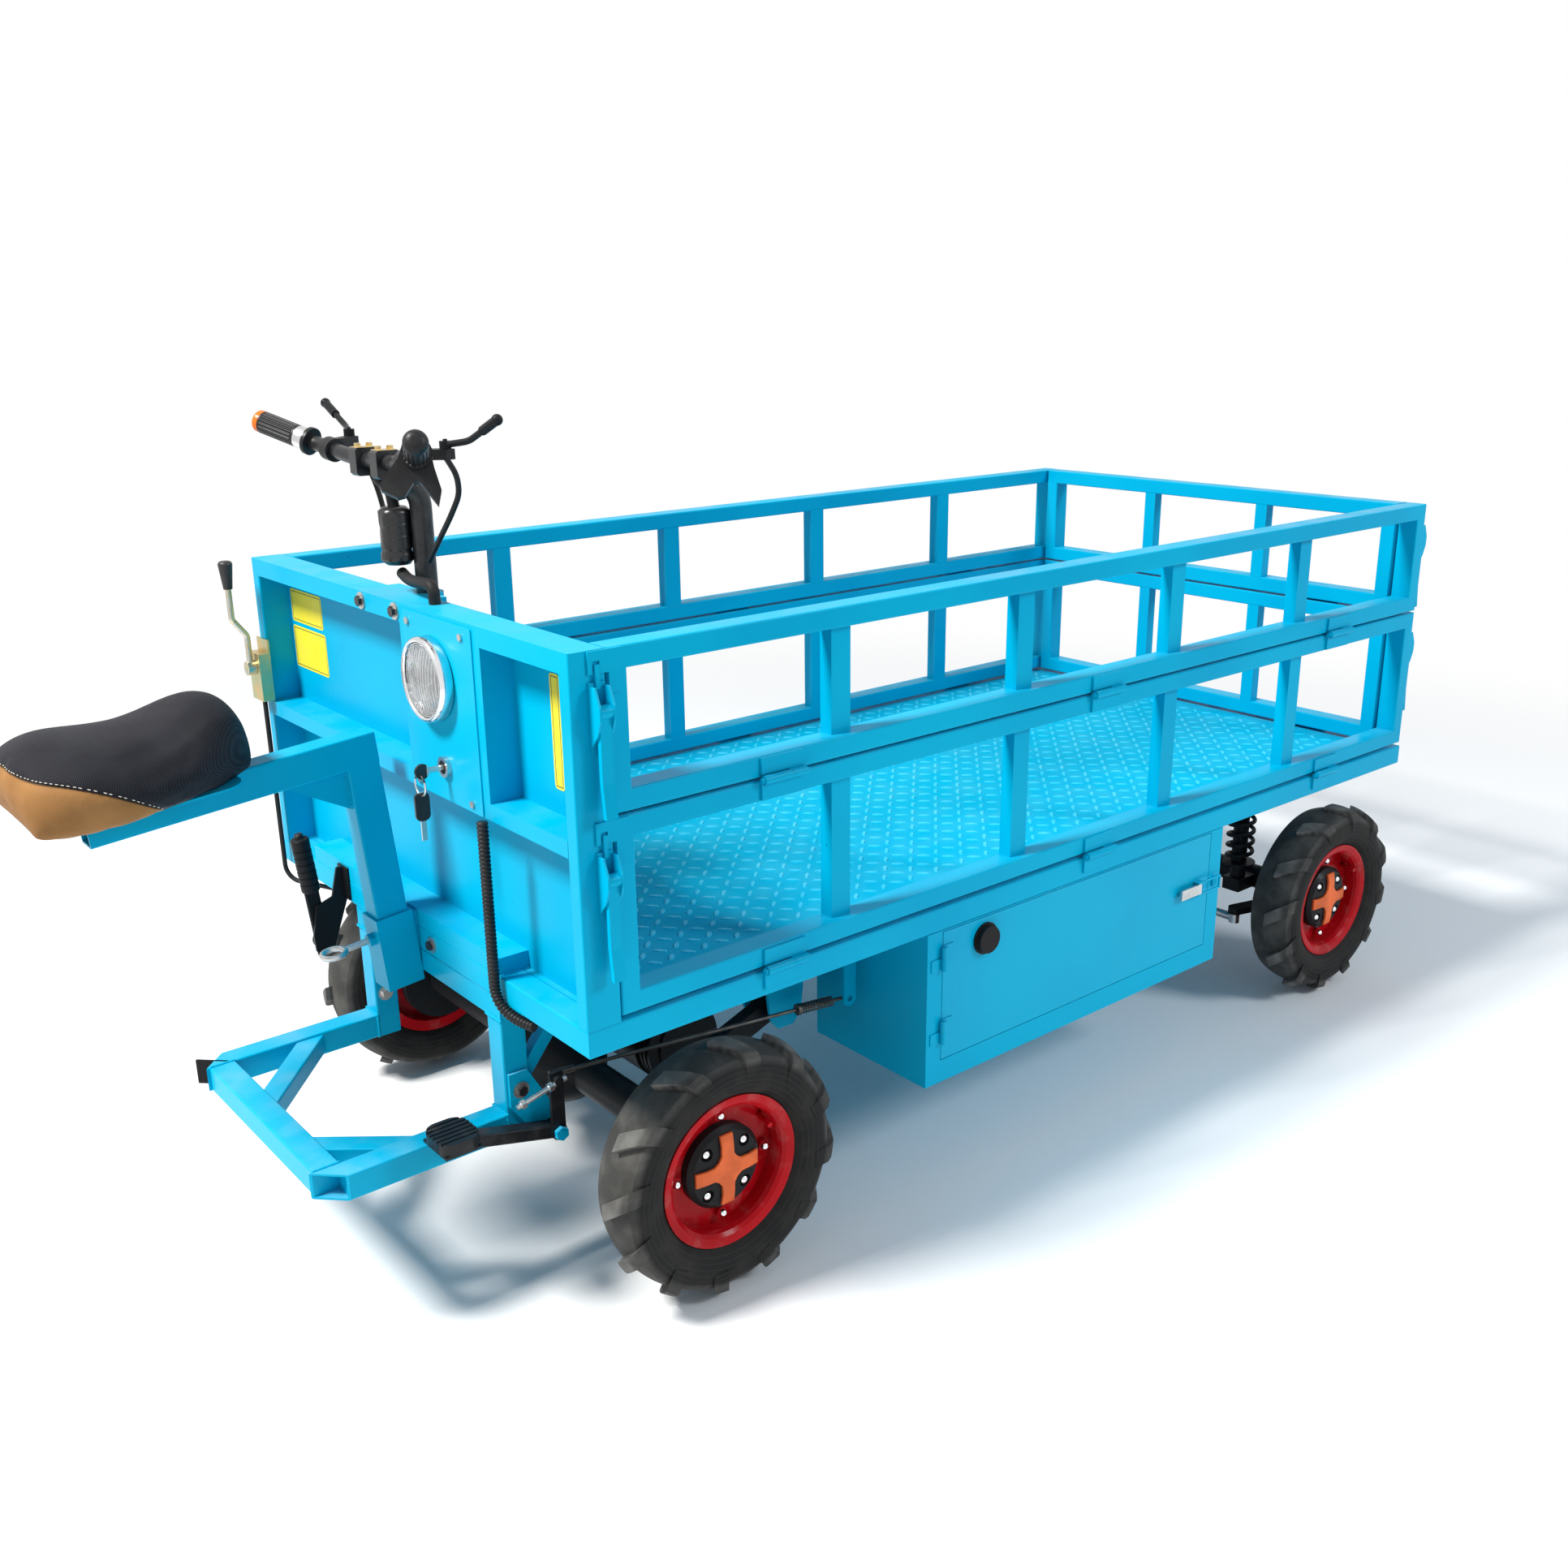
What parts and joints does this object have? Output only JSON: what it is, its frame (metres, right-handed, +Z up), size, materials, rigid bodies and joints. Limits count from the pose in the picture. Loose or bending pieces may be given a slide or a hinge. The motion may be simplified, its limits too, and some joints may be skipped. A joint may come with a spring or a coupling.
{
  "type": "electric platform trolley",
  "caption": "Ride-on electric platform trolley with drop-down tube gates, a steered axle, a driven axle, and a saddle and foot frame at the headboard.",
  "frame": {"origin": "on the ground under the middle of the overall box", "axes": "+X along the deck from the headboard to the far gate, +Y to the left side, +Z up"},
  "size_m": [2.5666, 1.05, 1.2724],
  "materials": {
    "blue_paint": "gloss",
    "black_paint": "satin",
    "red_paint": "gloss",
    "zinc": "satin",
    "steel": "satin",
    "cast": "matte",
    "chrome": "polished",
    "tyre": "matte",
    "rubber": "matte",
    "black_plastic": "satin",
    "cushion": "satin"
  },
  "bodies": {
    "chassis": {"deck_frame": "blue_paint", "deck_plate": "blue_paint", "headboard_frame": "blue_paint", "console_cover": "blue_paint", "headlight": "chrome", "foot_frame": "blue_paint", "battery_box": "blue_paint", "battery_pack": "black_plastic", "shift_box": "zinc", "control_cables": "rubber", "parking_bracket": "steel", "conduit": "black_plastic", "fasteners": "steel", "shock_springs": "steel"},
    "key": {"ignition_key": "steel"},
    "door": {"battery_door": "blue_paint"},
    "draw_latch": {"door_latch": "steel"},
    "shifter": {"gear_lever": "black_paint"},
    "park_lever": {"parking_lever": "black_plastic"},
    "park_button": {"parking_button": "black_plastic"},
    "pedal": {"brake_pedal": "blue_paint"},
    "link": {"brake_link": "steel"},
    "cable": {"brake_cable": "steel"},
    "seat": {"seat_post": "blue_paint", "seat_cushion": "cushion"},
    "clamp_screw": {"eye_bolt": "steel"},
    "driven_axle": {"rear_axle": "cast", "drive_motor": "cast"},
    "steered_axle": {"front_axle": "black_paint"},
    "right_knuckle": {"knuckle_right": "black_paint"},
    "left_knuckle": {"knuckle_left": "black_paint"},
    "track_rod": {"tie_rod": "steel"},
    "steer_rod": {"drag_link": "steel"},
    "steering": {"handlebar": "black_paint", "handlebar_controls": "rubber"},
    "throttle": {"throttle_grip": "rubber"},
    "right_lever": {"brake_lever_right": "black_paint"},
    "left_lever": {"brake_lever_left": "black_paint"},
    "rear_right_wheel": {"tyre_rear_right": "tyre", "rim_rear_right": "red_paint"},
    "rear_left_wheel": {"tyre_rear_left": "tyre", "rim_rear_left": "red_paint"},
    "front_right_wheel": {"tyre_front_right": "tyre", "rim_front_right": "red_paint"},
    "front_left_wheel": {"tyre_front_left": "tyre", "rim_front_left": "red_paint"},
    "lower_right_gate": {"gate_lower_right": "blue_paint"},
    "lower_left_gate": {"gate_lower_left": "blue_paint"},
    "lower_end_gate": {"gate_lower_end": "blue_paint"},
    "lower_near_right_latch": {"latch_lower_near_right": "blue_paint"},
    "lower_far_right_latch": {"latch_lower_far_right": "blue_paint"},
    "lower_near_left_latch": {"latch_lower_near_left": "blue_paint"},
    "lower_far_left_latch": {"latch_lower_far_left": "blue_paint"},
    "upper_right_gate": {"gate_upper_right": "blue_paint"},
    "upper_left_gate": {"gate_upper_left": "blue_paint"},
    "upper_end_gate": {"gate_upper_end": "blue_paint"},
    "upper_near_right_latch": {"latch_upper_near_right": "blue_paint"},
    "upper_far_right_latch": {"latch_upper_far_right": "blue_paint"},
    "upper_near_left_latch": {"latch_upper_near_left": "blue_paint"},
    "upper_far_left_latch": {"latch_upper_far_left": "blue_paint"}
  },
  "joints": [
    {"name": "key_turn", "type": "hinge", "parent": "chassis", "child": "key", "pos_m": [-0.75169, -0.165, 0.79], "axis": [1, 0, 0], "range_deg": [0, 60]},
    {"name": "door_swing", "type": "hinge", "parent": "chassis", "child": "door", "pos_m": [-0.09969, -0.506, 0.35], "axis": [0, 0, 1], "range_deg": [-110, 0]},
    {"name": "draw_latch_swing", "type": "hinge", "parent": "door", "child": "draw_latch", "pos_m": [0.56831, -0.508, 0.363], "axis": [0, 0, 1], "range_deg": [0, 100]},
    {"name": "gear_shift", "type": "hinge", "parent": "chassis", "child": "shifter", "pos_m": [-0.77169, 0.486, 0.822], "axis": [1, 0, 0], "range_deg": [-15, 15]},
    {"name": "parking_lever_pull", "type": "hinge", "parent": "chassis", "child": "park_lever", "pos_m": [-0.79969, 0.245, 0.405], "axis": [0, -1, 0], "range_deg": [0, 25]},
    {"name": "parking_button_press", "type": "slide", "parent": "park_lever", "child": "park_button", "axis": [0.1045, 0, -0.9945], "range_m": [0, 0.0055], "stiffness_N_per_m": 300, "springref_m": -0.003},
    {"name": "pedal_press", "type": "hinge", "parent": "chassis", "child": "pedal", "pos_m": [-0.68469, -0.262, 0.241], "axis": [0, -1, 0], "range_deg": [0, 10], "stiffness_Nm_per_rad": 20, "springref_deg": -8.59},
    {"name": "brake_link_swing", "type": "hinge", "parent": "chassis", "child": "link", "pos_m": [-0.16069, -0.352, 0.395], "axis": [0, 1, 0], "range_deg": [0, 11]},
    {"name": "brake_cable_pull", "type": "slide", "parent": "chassis", "child": "cable", "axis": [-0.9907, 0.1337, 0.0265], "range_m": [0, 0.016]},
    {"name": "seat_height", "type": "slide", "parent": "chassis", "child": "seat", "axis": [-0.0924, 0, 0.9957], "range_m": [0, 0.1]},
    {"name": "clamp_screw_turn", "type": "hinge", "parent": "chassis", "child": "clamp_screw", "pos_m": [-0.81225, 0, 0.49184], "axis": [-0.9957, 0, -0.0924], "continuous": true},
    {"name": "rear_suspension", "type": "hinge", "parent": "chassis", "child": "driven_axle", "pos_m": [-0.25169, 0, 0.3], "axis": [0, 1, 0], "range_deg": [0, 7], "stiffness_Nm_per_rad": 3000, "springref_deg": -1.15},
    {"name": "front_suspension", "type": "slide", "parent": "chassis", "child": "steered_axle", "axis": [0, 0, 1], "range_m": [0, 0.036], "stiffness_N_per_m": 24000, "springref_m": -0.012, "deforming": ["shock_springs"]},
    {"name": "steer", "type": "hinge", "parent": "chassis", "child": "steering", "pos_m": [-0.67969, 0, 0.7], "axis": [0, 0, 1], "range_deg": [-40, 40]},
    {"name": "right_kingpin", "type": "hinge", "parent": "steered_axle", "child": "right_knuckle", "pos_m": [1.06831, -0.365, 0.202], "axis": [0, 0, 1], "range_deg": [-28, 28]},
    {"name": "left_kingpin", "type": "hinge", "parent": "steered_axle", "child": "left_knuckle", "pos_m": [1.06831, 0.365, 0.202], "axis": [0, 0, 1], "range_deg": [-28, 28]},
    {"name": "tie_rod_shift", "type": "slide", "parent": "steered_axle", "child": "track_rod", "axis": [0, 1, 0], "range_m": [-0.054, 0.054]},
    {"name": "drag_link_shift", "type": "slide", "parent": "chassis", "child": "steer_rod", "axis": [1, 0, 0], "range_m": [-0.063, 0.063]},
    {"name": "throttle_twist", "type": "hinge", "parent": "steering", "child": "throttle", "pos_m": [-0.77793, -0.20094, 1.22731], "axis": [-0.4248, -0.8588, 0.2863], "range_deg": [0, 60], "stiffness_Nm_per_rad": 0.4, "springref_deg": -22.92},
    {"name": "right_brake_squeeze", "type": "hinge", "parent": "steering", "child": "right_lever", "pos_m": [-0.71069, -0.151, 1.228], "axis": [0, 0, -1], "range_deg": [0, 15], "stiffness_Nm_per_rad": 3, "springref_deg": -11.46},
    {"name": "left_brake_squeeze", "type": "hinge", "parent": "steering", "child": "left_lever", "pos_m": [-0.71069, 0.151, 1.228], "axis": [0, 0, 1], "range_deg": [0, 15], "stiffness_Nm_per_rad": 3, "springref_deg": -11.46},
    {"name": "rear_right_roll", "type": "hinge", "parent": "driven_axle", "child": "rear_right_wheel", "pos_m": [-0.52069, -0.459, 0.202], "axis": [0, 1, 0], "continuous": true},
    {"name": "rear_left_roll", "type": "hinge", "parent": "driven_axle", "child": "rear_left_wheel", "pos_m": [-0.52069, 0.459, 0.202], "axis": [0, 1, 0], "continuous": true},
    {"name": "front_right_roll", "type": "hinge", "parent": "right_knuckle", "child": "front_right_wheel", "pos_m": [1.06831, -0.459, 0.202], "axis": [0, 1, 0], "continuous": true},
    {"name": "front_left_roll", "type": "hinge", "parent": "left_knuckle", "child": "front_left_wheel", "pos_m": [1.06831, 0.459, 0.202], "axis": [0, 1, 0], "continuous": true},
    {"name": "lower_right_gate_drop", "type": "hinge", "parent": "chassis", "child": "lower_right_gate", "pos_m": [-0.69669, -0.508, 0.5065], "axis": [1, 0, 0], "range_deg": [0, 90]},
    {"name": "lower_left_gate_drop", "type": "hinge", "parent": "chassis", "child": "lower_left_gate", "pos_m": [-0.69669, 0.508, 0.5065], "axis": [-1, 0, 0], "range_deg": [0, 90]},
    {"name": "lower_end_gate_drop", "type": "hinge", "parent": "chassis", "child": "lower_end_gate", "pos_m": [1.26831, 0, 0.5065], "axis": [0, 1, 0], "range_deg": [0, 90]},
    {"name": "lower_near_right_latch_swing", "type": "hinge", "parent": "chassis", "child": "lower_near_right_latch", "pos_m": [-0.71369, -0.516, 0.711], "axis": [-1, 0, 0], "range_deg": [0, 100]},
    {"name": "lower_far_right_latch_swing", "type": "hinge", "parent": "lower_right_gate", "child": "lower_far_right_latch", "pos_m": [1.27431, -0.482, 0.711], "axis": [0, -1, 0], "range_deg": [0, 100]},
    {"name": "lower_near_left_latch_swing", "type": "hinge", "parent": "chassis", "child": "lower_near_left_latch", "pos_m": [-0.71369, 0.516, 0.711], "axis": [1, 0, 0], "range_deg": [0, 100]},
    {"name": "lower_far_left_latch_swing", "type": "hinge", "parent": "lower_left_gate", "child": "lower_far_left_latch", "pos_m": [1.27431, 0.482, 0.711], "axis": [0, -1, 0], "range_deg": [0, 100]},
    {"name": "upper_right_gate_drop", "type": "hinge", "parent": "lower_right_gate", "child": "upper_right_gate", "pos_m": [-0.69669, -0.508, 0.788], "axis": [1, 0, 0], "range_deg": [0, 165]},
    {"name": "upper_left_gate_drop", "type": "hinge", "parent": "lower_left_gate", "child": "upper_left_gate", "pos_m": [-0.69669, 0.508, 0.788], "axis": [-1, 0, 0], "range_deg": [0, 165]},
    {"name": "upper_end_gate_drop", "type": "hinge", "parent": "lower_end_gate", "child": "upper_end_gate", "pos_m": [1.26831, 0, 0.788], "axis": [0, 1, 0], "range_deg": [0, 165]},
    {"name": "upper_near_right_latch_swing", "type": "hinge", "parent": "chassis", "child": "upper_near_right_latch", "pos_m": [-0.71369, -0.516, 0.931], "axis": [-1, 0, 0], "range_deg": [0, 100]},
    {"name": "upper_far_right_latch_swing", "type": "hinge", "parent": "upper_right_gate", "child": "upper_far_right_latch", "pos_m": [1.27431, -0.482, 0.931], "axis": [0, -1, 0], "range_deg": [0, 100]},
    {"name": "upper_near_left_latch_swing", "type": "hinge", "parent": "chassis", "child": "upper_near_left_latch", "pos_m": [-0.71369, 0.516, 0.931], "axis": [1, 0, 0], "range_deg": [0, 100]},
    {"name": "upper_far_left_latch_swing", "type": "hinge", "parent": "upper_left_gate", "child": "upper_far_left_latch", "pos_m": [1.27431, 0.482, 0.931], "axis": [0, -1, 0], "range_deg": [0, 100]}
  ],
  "couplings": [
    {"joint": "brake_link_swing", "follows": "pedal_press", "ratio": 1.0488},
    {"joint": "brake_cable_pull", "follows": "pedal_press", "m_per_rad": 0.086},
    {"joint": "right_kingpin", "follows": "steer", "ratio": 0.69231},
    {"joint": "left_kingpin", "follows": "steer", "ratio": 0.69231},
    {"joint": "tie_rod_shift", "follows": "steer", "m_per_rad": -0.076154},
    {"joint": "drag_link_shift", "follows": "steer", "m_per_rad": 0.09}
  ]
}
